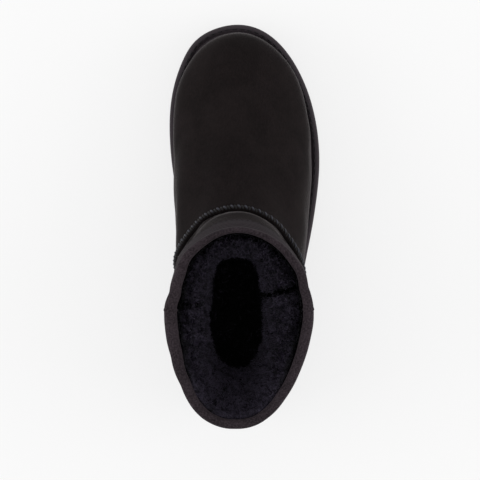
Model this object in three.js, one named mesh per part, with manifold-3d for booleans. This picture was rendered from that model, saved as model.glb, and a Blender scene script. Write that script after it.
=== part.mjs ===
// A right sheepskin ankle boot in millimetres, +Z up, toe towards -Y, lateral side towards -X.
// Every form is a stack of rings. A ring runs round the boot by an angle: 0 is its toe end, a half
// turn is its heel end, and the lateral side comes first. Its front and back points are stated, and
// its spread, a half width divided by the sine of the angle, is stated at equal steps of that angle.
import * as THREE from "three";
import Module from "manifold-3d";

const wasm = await Module();
wasm.setup();

// Driving dimensions
const LENGTH = 266; // outsole, toe to heel
const GAP = 0.3; // between pieces that meet
const AROUND = 64; // points in a ring of the upper or the outsole

const WALL_FOOT = 11; // skin and wool over the foot
const WALL_SHAFT = 17; // skin and wool round the ankle and shaft
const WALL_RIM = 4; // sheared edge at the collar
const WOOL_BUNCH = 10; // extra wool in the bend in front of the ankle

const INSOLE_THICK = 7;
const INSOLE_CLEAR = 0.6;
const COUNTER_THICK = 1.8;
const BINDING_THICK = 1.3;

const TOE_SPRING = 7;
const ARCH_LIFT = 2.2;
const HEEL_BEVEL = 2;
const FLAT_FRONT = [45, 115]; // the forefoot's flat spot, from the toe
const FLAT_HEEL = [200, 250];

const TREAD_DEPTH = 2.8;
const TREAD_GROOVE = 3.8; // width of a groove between two lugs
const TREAD_PITCH = 13;
const TREAD_WAVE = 2.6; // height of a groove's wave
const TREAD_BORDER = 8; // plain border round the lugs

// The upper edge of the outsole along the boot
const SOLE_TOP = [
  { along: 0, height: 19 },
  { along: 40, height: 16.4 },
  { along: 80, height: 15.4 },
  { along: 130, height: 17 },
  { along: 180, height: 20.4 },
  { along: 225, height: 22.3 },
  { along: LENGTH, height: 22.8 },
];

// The outsole's outline: spreads at every 18 degrees between the toe and the heel
const OUTLINE = {
  toe: 72,
  lateral: [68, 65.5, 63.4, 59.4, 52.5, 47, 50.2, 62.6, 70],
  heel: 66,
  medial: [76, 65.3, 57.4, 48.4, 39.5, 37.1, 46.2, 60, 68],
};

// The outsole's edge from the tread up: how far each ring is set in from the outline, and where it
// lies between the tread (0) and the sole's top (1), plus a rise in millimetres
const SOLE_EDGE = [
  { inset: 3.6, level: 0, rise: 0 },
  { inset: 1.3, level: 0, rise: 1 },
  { inset: 0.7, level: 0, rise: 3.2 },
  { inset: 0.5, level: 0.5, rise: -0.7 },
  { inset: 1.3, level: 0.5, rise: 0 },
  { inset: 0.3, level: 0.5, rise: 0.7 },
  { inset: 0, level: 1, rise: -2.4 },
  { inset: 0.4, level: 1, rise: -0.5 },
  { inset: 1.5, level: 1, rise: 0 },
  { inset: 2.7, level: 1, rise: -0.3 },
  { inset: 3.3, level: 1, rise: -1.3 },
  { inset: 4.6, level: 1, rise: -1.3 },
  { inset: 5.2, level: 1, rise: 0 },
];

// The upper's outer form, from the feather line to the collar: front and back points as
// [along, height], and spreads at every 36 degrees between them
const RINGS = [
  { name: "feather", front: [9.5, 18.75], back: [259.5, 23.15],
    toe: 61, lateral: [60.9, 51, 42.6, 57.8], heel: 58, medial: [59.2, 43.4, 32.8, 55.3] },
  { name: "bulge", front: [6.6, 27], back: [264, 37],
    toe: 64, lateral: [63.3, 53.2, 45.5, 60], heel: 61, medial: [61.4, 45.8, 38.8, 57.8] },
  { name: "toe_side", front: [8.2, 39], back: [265.5, 51],
    toe: 60, lateral: [60.4, 52.6, 46.1, 60.9], heel: 61, medial: [58.7, 45.4, 40.8, 58.7] },
  { name: "toe_crown", front: [13.5, 47.8], back: [265.2, 63],
    toe: 50, lateral: [48.5, 48.4, 45.7, 59.5], heel: 60, medial: [46.8, 42.4, 40.9, 57.8] },
  { name: "toe_top", front: [25, 54.8], back: [264.2, 74.5],
    toe: 38, lateral: [37.4, 43.1, 44.7, 58.7], heel: 58, medial: [35.7, 39.4, 40.8, 57] },
  { name: "vamp_low", front: [47, 62.2], back: [263, 86],
    toe: 31, lateral: [30.6, 37.9, 43.1, 57], heel: 56, medial: [28.9, 34.7, 39.6, 55.3] },
  { name: "vamp_high", front: [76, 71.2], back: [262.4, 97],
    toe: 29, lateral: [29.8, 35.2, 42.1, 54.4], heel: 53, medial: [28, 32.6, 38.9, 52.7] },
  { name: "instep", front: [104, 82.8], back: [262.8, 107],
    toe: 31, lateral: [32.3, 35.8, 42.1, 51.9], heel: 50, medial: [30.6, 33.1, 38.9, 50.2] },
  { name: "ankle", front: [127.5, 95], back: [263.6, 116.5],
    toe: 38, lateral: [38.3, 39.4, 42.5, 47.5], heel: 46, medial: [38.6, 37.6, 40, 46.8] },
  { name: "shaft_low", front: [132, 107], back: [264.4, 126],
    toe: 43, lateral: [44, 42.6, 42.6, 45], heel: 44, medial: [44.5, 40.4, 41, 45.5] },
  { name: "shaft_high", front: [136.2, 124], back: [265.8, 137],
    toe: 46, lateral: [47, 45.2, 42.8, 42], heel: 42, medial: [47.5, 43, 41.2, 44.5] },
  { name: "collar", front: [141.4, 148.5], back: [267.3, 149],
    toe: 46, lateral: [49, 47.7, 43.2, 38.9], heel: 40.4, medial: [47.5, 44.6, 42.8, 42.9] },
];
const COLLAR = RINGS.length - 1;

// The heel counter's upper edge in side view, from its front corner to behind the heel
const COUNTER_EDGE = [
  { along: 176, height: 22 },
  { along: 184, height: 34 },
  { along: 200, height: 46 },
  { along: 222, height: 55 },
  { along: 246, height: 60 },
  { along: 285, height: 62 },
];

// Cubic interpolation through rows of x and y, with the slopes of their neighbours
function through(xs, ys, x) {
  let i = xs.findIndex((value) => value > x) - 1;
  if (i < 0) i = x < xs[0] ? 0 : xs.length - 2;
  const slope = (k) => {
    const a = Math.max(k - 1, 0);
    const b = Math.min(k + 1, xs.length - 1);
    return (ys[b] - ys[a]) / (xs[b] - xs[a]);
  };
  const h = xs[i + 1] - xs[i];
  const u = THREE.MathUtils.clamp((x - xs[i]) / h, 0, 1);
  const rise = ys[i] * (1 - u) ** 2 * (1 + 2 * u) + ys[i + 1] * u * u * (3 - 2 * u);
  return rise + h * u * (1 - u) * (slope(i) * (1 - u) - slope(i + 1) * u);
}

// The same round a closed ring of equally spaced values, for an angle
function round(values, angle) {
  const n = values.length;
  const place = (((angle / (2 * Math.PI)) * n) % n + n) % n;
  const i = Math.floor(place);
  const at = (k) => values[(i + k + n) % n];
  const u = place - i;
  const bend = 2 * at(0) - 2 * at(1) + (at(1) - at(-1)) / 2 + (at(2) - at(0)) / 2;
  const lift = 3 * (at(1) - at(0)) - (at(1) - at(-1)) - (at(2) - at(0)) / 2;
  return at(0) + (u * (at(1) - at(-1))) / 2 + u * u * lift + u ** 3 * bend;
}

const spreads = (row) => [row.toe, ...row.lateral, row.heel, ...row.medial.slice().reverse()];
const share = (angle) => (1 - Math.cos(angle)) / 2; // of the way from a ring's front to its back
const mix = THREE.MathUtils.lerp;
const clamp01 = (x) => THREE.MathUtils.clamp(x, 0, 1);

const soleTop = (along) =>
  through(SOLE_TOP.map((r) => r.along), SOLE_TOP.map((r) => r.height), along);

function treadHeight(along) {
  const toe = TOE_SPRING * clamp01(1 - along / FLAT_FRONT[0]) ** 2;
  const arch = clamp01((along - FLAT_FRONT[1]) / (FLAT_HEEL[0] - FLAT_FRONT[1]));
  const heel = HEEL_BEVEL * clamp01((along - FLAT_HEEL[1]) / (LENGTH - FLAT_HEEL[1])) ** 2;
  return toe + ARCH_LIFT * Math.sin(Math.PI * arch) ** 2 + heel;
}

// A point of the outsole's outline set in by a distance, as [x, along]
const outlineSpreads = spreads(OUTLINE);
function outline(angle, inset = 0) {
  const at = (a) => [-round(outlineSpreads, a) * Math.sin(a), LENGTH * share(a)];
  const [x, y] = at(angle);
  const [x0, y0] = at(angle - 0.01);
  const [x1, y1] = at(angle + 0.01);
  const size = Math.hypot(x1 - x0, y1 - y0);
  return [x + (inset * (y1 - y0)) / size, y - (inset * (x1 - x0)) / size];
}

// The upper's outer surface at a ring number, which may lie between two rings, and an angle
const ringSpreads = RINGS.map(spreads);
const ringNumbers = RINGS.map((_, i) => i);
function surface(ring, angle) {
  const column = (values) => through(ringNumbers, values, ring);
  const s = share(angle);
  const front = [0, 1].map((k) => column(RINGS.map((r) => r.front[k])));
  const back = [0, 1].map((k) => column(RINGS.map((r) => r.back[k])));
  const along = mix(front[0], back[0], s);
  const spread = column(ringSpreads.map((values) => round(values, angle)));
  // The lowest rings follow the curve of the sole's top, and the higher ones are flat
  const follow = clamp01(1 - ring / 3) ** 2;
  const dip = soleTop(along) - mix(soleTop(front[0]), soleTop(back[0]), s);
  return new THREE.Vector3(-spread * Math.sin(angle), along, mix(front[1], back[1], s) + follow * dip);
}

function normal(ring, angle) {
  const low = Math.max(ring - 0.05, 0);
  const high = Math.min(ring + 0.05, COLLAR);
  const up = surface(high, angle).sub(surface(low, angle));
  const on = surface(ring, angle + 0.02).sub(surface(ring, angle - 0.02));
  const n = up.cross(on).normalize();
  // Level at both rims, so that the wall ends in flat edges
  n.z *= Math.min(1, ring, COLLAR - ring);
  return n.normalize();
}

function wall(ring, angle) {
  const shaft = THREE.MathUtils.smoothstep(ring, 3, 8);
  const rim = THREE.MathUtils.smoothstep(ring, COLLAR - 1.6, COLLAR);
  const bunch = WOOL_BUNCH * clamp01(1 - Math.abs(ring - 8.5) / 2) * Math.cos(angle / 2) ** 4;
  return mix(mix(WALL_FOOT, WALL_SHAFT, shaft) + bunch, WALL_RIM, rim);
}

const offset = (ring, angle, out) =>
  surface(ring, angle).addScaledVector(normal(ring, angle), out);
const inner = (ring, angle) => offset(ring, angle, -wall(ring, angle));

// Half a step of angle keeps both sides in pairs: point j faces point n - 1 - j
const angles = Array.from({ length: AROUND }, (_, j) => ((j + 0.5) * 2 * Math.PI) / AROUND);
const steps = (from, to, count) =>
  Array.from({ length: count + 1 }, (_, i) => mix(from, to, i / count));
const ROWS = steps(0, COLLAR, 2 * COLLAR); // rings of the upper's outside, two to a stated ring

// Rings of points to a closed geometry. Capped rings end in ladders across, others join up end to end
function solid(rings, capped) {
  const n = rings[0].length;
  const faces = [];
  const quad = (a, b, c, d) => faces.push(a, b, c, a, c, d);
  const last = capped ? rings.length - 1 : rings.length;
  for (let i = 0; i < last; i++) {
    const up = (i + 1) % rings.length;
    for (let j = 0; j < n; j++) {
      const k = (j + 1) % n;
      quad(i * n + j, up * n + j, up * n + k, i * n + k);
    }
  }
  for (let j = 0; capped && j < n / 2 - 1; j++) {
    const top = (rings.length - 1) * n;
    quad(j, j + 1, n - 2 - j, n - 1 - j);
    quad(top + n - 1 - j, top + n - 2 - j, top + j + 1, top + j);
  }
  const geometry = new THREE.BufferGeometry().setFromPoints(rings.flat());
  return geometry.setIndex(faces);
}

const toManifold = (geometry) =>
  new wasm.Manifold(
    new wasm.Mesh({
      numProp: 3,
      vertProperties: geometry.attributes.position.array,
      triVerts: new Uint32Array(geometry.index.array),
    }),
  );

function toGeometry(manifold) {
  const mesh = manifold.getMesh();
  const geometry = new THREE.BufferGeometry();
  geometry.setAttribute("position", new THREE.BufferAttribute(mesh.vertProperties, 3));
  return geometry.setIndex(new THREE.BufferAttribute(mesh.triVerts, 1));
}

// Outsole: one moulded unit with a beaded rim, a stitching groove, and lugs between wavy grooves
function soleRing({ inset, level, rise }) {
  return angles.map((angle) => {
    const [x, along] = outline(angle, inset);
    return new THREE.Vector3(x, along, mix(treadHeight(along), soleTop(along), level) + rise);
  });
}

function treadGroove(along) {
  const half = LENGTH / 4;
  const bank = steps(-half, half, 26).map((x) => [x, along + TREAD_WAVE * Math.cos(x / 5)]);
  const edge = (sign, floor) =>
    bank.map(([x, y]) => new THREE.Vector3(x, y + (sign * TREAD_GROOVE) / 2, floor));
  const roof = treadHeight(along) + TREAD_DEPTH;
  const ring = (floor) => [...edge(1, floor), ...edge(-1, floor).reverse()];
  return toManifold(solid([ring(-5), ring(roof)], true));
}

function outsole() {
  const body = toManifold(solid(SOLE_EDGE.map(soleRing), true));
  const field = (height) =>
    angles.map((angle) => new THREE.Vector3(...outline(angle, TREAD_BORDER), height));
  const lugs = toManifold(solid([field(-6), field(TREAD_DEPTH + TOE_SPRING)], true));
  let grooves = null;
  for (const [from, count] of [[28, 8], [FLAT_HEEL[0] - 8, 5]]) {
    for (let i = 0; i < count; i++) {
      const cut = treadGroove(from + i * TREAD_PITCH);
      grooves = grooves ? grooves.add(cut) : cut;
    }
  }
  return toGeometry(body.subtract(grooves.intersect(lugs)));
}

// Upper: one hollow wall, open at the collar and underneath, with a rounded rim
function rim(angle) {
  const out = surface(COLLAR, angle);
  const into = inner(COLLAR, angle);
  const middle = out.clone().lerp(into, 0.5);
  const radius = out.distanceTo(into) / 2;
  return (turn) => {
    const point = middle.clone().lerp(out, Math.cos(turn));
    return point.setZ(point.z + radius * Math.sin(turn));
  };
}

const rimTurns = steps(0, Math.PI, 4).slice(1, -1);

function upper() {
  const outside = ROWS.map((ring) => angles.map((a) => surface(ring, a)));
  const inside = steps(COLLAR, 0, 15).map((ring) => angles.map((a) => inner(ring, a)));
  const over = rimTurns.map((turn) => angles.map((a) => rim(a)(turn)));
  return solid([...outside, ...over, ...inside], false);
}

// Insole: a wool-topped footbed that drops in between the walls
function insole() {
  const edge = (clear, height) =>
    angles.map((angle) => {
      const point = inner(0, angle);
      const inwards = normal(0, angle).multiplyScalar(-clear);
      const along = point.y + inwards.y;
      return new THREE.Vector3(point.x + inwards.x, along, soleTop(along) + GAP + height);
    });
  return solid(
    [edge(INSOLE_CLEAR, 0), edge(INSOLE_CLEAR, INSOLE_THICK - 2), edge(INSOLE_CLEAR + 2.5, INSOLE_THICK)],
    true,
  );
}

// Heel counter: a skin between two offsets of the upper's own surface, cut to its side outline
function heelCounter() {
  const skin = (out) => ROWS.slice(0, 9).map((ring) => angles.map((a) => offset(ring, a, out)));
  const around = toManifold(solid([...skin(GAP + COUNTER_THICK), ...skin(GAP).reverse()], false));
  const [front, back] = [COUNTER_EDGE[0].along, COUNTER_EDGE.at(-1).along];
  const top = (along) =>
    through(COUNTER_EDGE.map((r) => r.along), COUNTER_EDGE.map((r) => r.height), along);
  const run = steps(front, back, 20);
  const side = (x) => [
    ...run.map((along) => new THREE.Vector3(x, along, top(along))),
    ...run.map((along) => new THREE.Vector3(x, along, soleTop(along) + 1)).reverse(),
  ];
  return toGeometry(around.intersect(toManifold(solid([side(-LENGTH / 3), side(LENGTH / 3)], true))));
}

// Collar binding: a tape folded over the rim, down the outside and a little down the inside
function collarBinding() {
  const path = (angle) => [
    ...ROWS.slice(-2).map((ring) => surface(ring, angle)),
    ...rimTurns.map(rim(angle)),
    inner(COLLAR, angle),
  ];
  const paths = angles.map(path);
  const skin = (out) =>
    paths[0].map((_, i) =>
      angles.map((_, j) => {
        const at = (k, m) => paths[(m + AROUND) % AROUND][k];
        const up = at(Math.min(i + 1, paths[0].length - 1), j).clone().sub(at(Math.max(i - 1, 0), j));
        const on = at(i, j + 1).clone().sub(at(i, j - 1));
        return at(i, j).clone().addScaledVector(up.cross(on).normalize(), out);
      }),
    );
  return solid([...skin(GAP + BINDING_THICK), ...skin(GAP).reverse()], false);
}

const pieces = [
  { name: "outsole", form: outsole, color: 0x2b2728, roughness: 0.75 },
  { name: "insole", form: insole, color: 0x15131a, roughness: 1 },
  { name: "upper", form: upper, color: 0x201b1c, roughness: 0.95 },
  { name: "heel_counter", form: heelCounter, color: 0x231e1f, roughness: 0.95 },
  { name: "collar_binding", form: collarBinding, color: 0x2c2729, roughness: 0.85 },
];

const boot = new THREE.Group();
for (const { name, form, color, roughness } of pieces) {
  const material = new THREE.MeshStandardMaterial({ color, roughness, metalness: 0 });
  const mesh = new THREE.Mesh(form(), material);
  mesh.name = name;
  boot.add(mesh);
}

// The origin is under the middle of the boot's box, on the floor
const box = new THREE.Box3().setFromObject(boot);
const middle = box.getCenter(new THREE.Vector3());
boot.position.set(-middle.x, -middle.y, -box.min.z);

export default boot;
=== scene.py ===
import math

import bmesh
import bpy
import numpy as np
from bpy.props import FloatProperty, FloatVectorProperty, IntProperty, PointerProperty
from mathutils import Matrix, Vector, noise
from mathutils.bvhtree import BVHTree
from mathutils.kdtree import KDTree


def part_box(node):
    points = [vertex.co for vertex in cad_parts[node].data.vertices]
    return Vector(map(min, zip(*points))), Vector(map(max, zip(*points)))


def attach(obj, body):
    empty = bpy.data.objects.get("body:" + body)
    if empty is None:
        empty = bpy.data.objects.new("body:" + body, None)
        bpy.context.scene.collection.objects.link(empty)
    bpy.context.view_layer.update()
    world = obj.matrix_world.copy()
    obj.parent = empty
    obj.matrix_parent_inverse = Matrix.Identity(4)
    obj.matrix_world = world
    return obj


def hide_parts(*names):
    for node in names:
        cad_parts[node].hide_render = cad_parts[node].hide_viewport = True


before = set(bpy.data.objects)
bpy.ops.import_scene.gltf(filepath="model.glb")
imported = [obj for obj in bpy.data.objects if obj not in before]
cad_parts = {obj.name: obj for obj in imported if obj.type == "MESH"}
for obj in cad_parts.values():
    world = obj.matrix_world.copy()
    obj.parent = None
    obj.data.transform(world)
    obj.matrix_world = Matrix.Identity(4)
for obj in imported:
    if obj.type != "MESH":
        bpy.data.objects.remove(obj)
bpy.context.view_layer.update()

bl_info = {
    "name": "Sheepskin Ankle Boot",
    "version": (1, 0, 0),
    "blender": (4, 5, 0),
    "location": "View3D > Sidebar > Boot",
    "description": "Suede, wool, stitches, sole and stage of a right sheepskin ankle boot",
    "category": "Object",
}

MM = 0.001
TOE_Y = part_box("outsole")[0].y
AXIS_X = 4.6 * MM  # the last's long axis, towards the medial side of the box's middle
RIM_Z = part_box("upper")[1].z


def table(columns, *rows):
    """Rows with named columns. Numbers in them are in millimetres unless a comment says so."""
    return [dict(zip(columns.split(), row)) for row in rows]


# The vamp seam in side view: its height at each place along the boot
VAMP_SEAM = table(
    "along height",
    (97, 160), (115, 110), (122, 99.5), (126, 97.5), (131, 95.5), (137.5, 91), (145.5, 84.5),
    (159.5, 72), (170, 58), (178, 41), (185, 21), (189, 7), (202, -30),
)
SEAM_SKEW = 0.11  # the vamp seam lies this much further back for each mm towards lateral

# The side seams in side view: how far along they are at each height
SIDE_SEAM = table(
    "height along",
    (0, 190), (60, 190.5), (110, 191), (160, 192.8),
)

# The heel counter's upper edge in side view
COUNTER_EDGE = table(
    "along height",
    (176, 22), (184, 34), (200, 46), (222, 55), (246, 60), (285, 62),
)
COUNTER_FOOT = 24.2  # lower edge of the heel counter

# Soft troughs (depth under 0) and ridges (over 0) of the suede in side view, from one end to the
# other. Side is 1 on the medial side only, -1 on the lateral side only and 0 on both.
FOLDS = table(
    "side from to width depth",
    (0, (131, 105), (150, 99), 6.5, 1.9),
    (0, (137, 113), (166, 106), 6.5, 0.9),
    (-1, (152, 95), (186, 84), 7, -1.5),
    (1, (150, 97), (180, 80), 7, -1.3),
    (-1, (150, 119), (184, 112), 7, -0.9),
    (1, (160, 118), (190, 116), 6, -0.8),
    (0, (206, 100), (264, 92), 9, -1.4),
    (0, (215, 80), (262, 72), 8, 0.8),
    (-1, (92, 40), (128, 52), 11, -1.0),
    (1, (96, 42), (140, 50), 11, -1.1),
    (0, (112, 82), (124, 88), 7, -0.8),
    (1, (122, 42), (160, 52), 24, 1.9),
)

# How far the shaft is eased outwards near the collar, on each side in millimetres
COLLAR_EASE = table(
    "along medial lateral",
    (146, 0, 0), (160, -1.4, -0.6), (168, -0.3, -1.2), (180, -0.2, 0.2), (189, 1.5, 0.9),
    (197, 1.4, 0.9), (210, 0.8, 0.5), (232, -0.4, 0.4), (248, 0.8, 0.6), (262, 2.8, 0.8),
)


def lumps(point, size):
    """Smooth noise between -1 and 1 whose features are about a size in millimetres."""
    return noise.noise(point / (size * MM))


def along(point):
    return (point.y - TOE_Y) / MM


def height(point):
    return point.z / MM


def across(point):
    return (point.x - AXIS_X) / MM


def through(rows, x_name, y_name, x):
    """Cubic interpolation through the rows of a table, level beyond its ends."""
    xs = [row[x_name] for row in rows]
    ys = [row[y_name] for row in rows]
    if x <= xs[0] or x >= xs[-1]:
        return ys[0] if x <= xs[0] else ys[-1]
    i = next(k for k in range(len(xs)) if xs[k] > x) - 1

    def slope(k):
        a, b = max(k - 1, 0), min(k + 1, len(xs) - 1)
        return (ys[b] - ys[a]) / (xs[b] - xs[a])

    h = xs[i + 1] - xs[i]
    u = (x - xs[i]) / h
    rise = ys[i] * (1 - u) ** 2 * (1 + 2 * u) + ys[i + 1] * u * u * (3 - 2 * u)
    return rise + h * u * (1 - u) * (slope(i) * (1 - u) - slope(i + 1) * u)


def over_vamp_seam(point):
    """Roughly how far a point lies above the vamp seam, in millimetres."""
    reach = along(point) + SEAM_SKEW * across(point)
    seam = through(VAMP_SEAM, "along", "height", reach)
    slope = through(VAMP_SEAM, "along", "height", reach + 0.5) - seam
    return (height(point) - seam) / math.hypot(1, slope * 2)


def behind_side_seam(point):
    """How far a point lies behind the side seam, in millimetres."""
    return along(point) - through(SIDE_SEAM, "height", "along", height(point))


def in_counter(point):
    """How far a point lies inside the heel counter's outline, in millimetres."""
    edge = through(COUNTER_EDGE, "along", "height", along(point))
    return min(edge - height(point), along(point) - COUNTER_EDGE[0]["along"])


def over_counter_foot(point):
    return height(point) - COUNTER_FOOT


# Meshes


def merged_copy(node):
    """A bmesh of a CAD node with its loose triangles joined into quads."""
    bm = bmesh.new()
    bm.from_mesh(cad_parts[node].data)
    bmesh.ops.remove_doubles(bm, verts=bm.verts, dist=1e-6)
    limit = math.radians(60)
    bmesh.ops.join_triangles(
        bm, faces=bm.faces, angle_face_threshold=limit, angle_shape_threshold=limit
    )
    bm.normal_update()
    return bm


def subdivided(bm, levels):
    """The bmesh's Catmull-Clark surface, as a new bmesh."""
    mesh = bpy.data.meshes.new("rough")
    bm.to_mesh(mesh)
    bm.free()
    thing = bpy.data.objects.new("rough", mesh)
    bpy.context.scene.collection.objects.link(thing)
    smooth = thing.modifiers.new("smooth", "SUBSURF")
    smooth.levels = smooth.render_levels = levels
    graph = bpy.context.evaluated_depsgraph_get()
    fine = bmesh.new()
    fine.from_mesh(thing.evaluated_get(graph).to_mesh())
    bpy.data.objects.remove(thing)
    bpy.data.meshes.remove(mesh)
    fine.normal_update()
    return fine


def islands(bm):
    """Lists of faces, one for each connected part."""
    left, found = set(bm.faces), []
    while left:
        todo = [left.pop()]
        part = list(todo)
        while todo:
            for edge in todo.pop().edges:
                for face in edge.link_faces:
                    if face in left:
                        left.remove(face)
                        todo.append(face)
                        part.append(face)
        found.append(part)
    return found


def cut_along(bm, field):
    """Adds the edges where the field is zero, and returns their vertices."""
    values = {vert: field(vert.co) for vert in bm.verts}
    on = []
    for edge in list(bm.edges):
        a, b = edge.verts
        if values[a] * values[b] < 0:
            share = values[a] / (values[a] - values[b])
            share = min(max(share, 0.03), 0.97)
            on.append(bmesh.utils.edge_split(edge, a, share)[1])
    bmesh.ops.connect_verts(bm, verts=on)
    return on


def keep_where(bm, field):
    """Cuts the mesh where the field is zero and removes the side where it is negative."""
    cut_along(bm, field)
    gone = [face for face in bm.faces if field(face.calc_center_median()) < 0]
    bmesh.ops.delete(bm, geom=gone, context="FACES")
    bm.normal_update()


def chains(verts):
    """The cut's vertices as runs of neighbours, each an ordered list of (place, normal)."""
    left, runs = set(verts), []

    def near(vert):
        return [e.other_vert(vert) for e in vert.link_edges if e.other_vert(vert) in left]

    while left:
        ends = [v for v in left if len(near(v)) == 1] or list(left)
        vert = min(ends, key=lambda v: (round(v.co.x, 6), round(v.co.z, 6)))
        left.remove(vert)
        run = [vert]
        while near(run[-1]):
            vert = near(run[-1])[0]
            left.remove(vert)
            run.append(vert)
        runs.append([(v.co.copy(), v.normal.copy()) for v in run])
    return [run for run in runs if len(run) > 3]


def lines_where(bm, field):
    """The runs of places and normals where a field is zero on a mesh, which stays whole."""
    probe = bm.copy()
    runs = chains(cut_along(probe, field))
    probe.free()
    return runs


def evenly(path, step, closed=False):
    """The path's places and normals at equal steps, a little under or over the step asked for."""
    path = path + path[:1] if closed else path
    places = np.array([p for p, _ in path])
    normals = np.array([n for _, n in path])
    run = np.concatenate([[0], np.cumsum(np.linalg.norm(np.diff(places, axis=0), axis=1))])
    count = max(int(round(run[-1] / step)), 2)
    at = np.linspace(0, run[-1], count + 1)[: count if closed else count + 1]
    place = [np.interp(at, run, places[:, k]) for k in range(3)]
    normal = [np.interp(at, run, normals[:, k]) for k in range(3)]
    made = [
        (Vector(p), Vector(n).normalized())
        for p, n in zip(np.array(place).T, np.array(normal).T)
    ]
    for _ in range(2):  # two passes take the cut's small steps out
        last = len(made) - 1
        ends = range(len(made)) if closed else range(1, last)
        eased = {
            i: (made[i - 1][0] + made[i][0] * 2 + made[(i + 1) % len(made)][0]) / 4
            for i in ends
        }
        made = [(eased.get(i, p), n) for i, (p, n) in enumerate(made)]
    return made


def frames_on(path, closed=False):
    """A matrix at each step of a path: Y along it, Z out of the surface and X to its right."""
    made, last = [], len(path) - 1
    for i, (place, normal) in enumerate(path):
        before = path[i - 1][0] if closed or i > 0 else place
        after = path[(i + 1) % len(path)][0] if closed or i < last else place
        y = (after - before).normalized()
        x = y.cross(normal).normalized()
        z = x.cross(y)
        made.append(Matrix.Translation(place) @ Matrix((x, y, z)).transposed().to_4x4())
    return made


def stacked(rings):
    """A sheet through closed rings of points: a grid whose last column is welded to its first."""
    around = len(rings[0])
    bm = bmesh.new()
    bmesh.ops.create_grid(bm, x_segments=around, y_segments=len(rings) - 1, size=1)
    bm.verts.ensure_lookup_table()
    for i, vert in enumerate(bm.verts):
        ring, k = divmod(i, around + 1)
        vert.co = rings[ring][k % around]
    firsts = range(0, len(bm.verts), around + 1)
    seam = {bm.verts[first + around]: bm.verts[first] for first in firsts}
    bmesh.ops.weld_verts(bm, targetmap=seam)
    bmesh.ops.recalc_face_normals(bm, faces=bm.faces)
    return bm


def swept(frames, outline):
    """A closed tube: a ring of (x, z) corners carried from frame to frame."""
    bm = stacked([[m @ Vector((x, 0, z)) for x, z in outline] for m in frames])
    bmesh.ops.holes_fill(bm, edges=[e for e in bm.edges if e.is_boundary])
    bmesh.ops.recalc_face_normals(bm, faces=bm.faces)
    return bm


def frames_along(path, step, closed=False):
    """Frames at equal steps of a path."""
    return frames_on(evenly(path, step, closed), closed)


def oval(width, depth, corners):
    """Corners of an oval section."""
    turns = [2 * math.pi * (i + 0.5) / corners for i in range(corners)]
    return [(width / 2 * math.cos(t), depth / 2 * math.sin(t)) for t in turns]


def arrays(bm):
    """Places and triangles of a small bmesh, for repeating it."""
    bmesh.ops.triangulate(bm, faces=bm.faces)
    bm.verts.index_update()
    places = np.array([v.co for v in bm.verts])
    faces = np.array([[v.index for v in f.verts] for f in bm.faces])
    bm.free()
    return places, faces


def repeated(name, patterns, frames, choice=None, tones_and_shade=None):
    """One mesh with a pattern at each frame, and how far up its pattern each point is."""
    if choice is None:
        choice = np.zeros(len(frames), int)
    if tones_and_shade is None:
        tones_and_shade = np.zeros(len(frames))
    places, faces, tips, shades, total = [], [], [], [], 0
    matrices = np.array([np.array(m) for m in frames])
    for k, (points, corners) in enumerate(patterns):
        here = matrices[choice == k]
        if not len(here):
            continue
        moved = np.einsum("nij,vj->nvi", here[:, :3, :3], points) + here[:, None, :3, 3]
        starts = total + len(points) * np.arange(len(here))
        places.append(moved.reshape(-1, 3))
        faces.append((corners[None] + starts[:, None, None]).reshape(-1, 3))
        tips.append(np.tile(points[:, 2] / max(points[:, 2].max(), MM), len(here)))
        shades.append(np.repeat(tones_and_shade[choice == k], len(points)))
        total += len(points) * len(here)
    mesh = bpy.data.meshes.new(name)
    mesh.from_pydata(np.concatenate(places).tolist(), [], np.concatenate(faces).tolist())
    for mark, values in (("tip", tips), ("tone_and_shade", shades)):
        layer = mesh.attributes.new(mark, "FLOAT", "POINT")
        layer.data.foreach_set("value", np.concatenate(values))
    return mesh


def finished(name, shape, material):
    """A piece in the scene: its mesh, finish and body."""
    if isinstance(shape, bmesh.types.BMesh):
        mesh = bpy.data.meshes.new(name)
        shape.to_mesh(mesh)
        shape.free()
    else:
        mesh = shape
    mesh.polygons.foreach_set("use_smooth", [True] * len(mesh.polygons))
    mesh.materials.append(material)
    piece = bpy.data.objects.new(name, mesh)
    bpy.context.scene.collection.objects.link(piece)
    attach(piece, "root")
    return piece


def thick(piece, depth, outwards=False, edge=0.4 * MM):
    """Gives a sheet its thickness and eases its edges."""
    wall = piece.modifiers.new("thickness", "SOLIDIFY")
    wall.thickness = depth
    wall.offset = 1 if outwards else -1
    round_off = piece.modifiers.new("eased_edges", "BEVEL")
    round_off.width = edge
    round_off.segments = 2
    round_off.limit_method = "ANGLE"
    round_off.angle_limit = math.radians(50)
    round_off.use_clamp_overlap = True


def stitch(length, thread, arch, slant=0.0):
    """One stitch: a bent strand that dips at both ends, along X with its slant along Y."""
    steps = 6
    frames = []
    for i in range(steps + 1):
        t = i / steps * 2 - 1
        place = Vector((t * length / 2, t * slant / 2, arch * (1 - t * t)))
        heading = Vector((length / 2, slant / 2, -2 * arch * t)).normalized()
        x = heading.cross(Vector((0, 0, 1))).normalized()
        girth = 0.45 + 0.55 * math.sqrt(max(1 - t**4, 0))
        turn = Matrix((x, heading, x.cross(heading))).transposed().to_4x4()
        frames.append(Matrix.Translation(place) @ turn @ Matrix.Scale(girth, 4))
    return arrays(swept(frames, oval(thread, thread, 6)))


def stitch_rows(name, paths, step, pattern, material, lift=0.0, closed=False):
    """Rows of stitches, each stitch along its path and lifted off the surface."""
    up, along_path = Matrix.Translation((0, 0, lift)), Matrix.Rotation(math.pi / 2, 4, "Z")
    frames = [m @ up @ along_path for path in paths for m in frames_along(path, step, closed)]
    finished(name, repeated(name, [pattern], frames), material)


# Finishes


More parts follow.
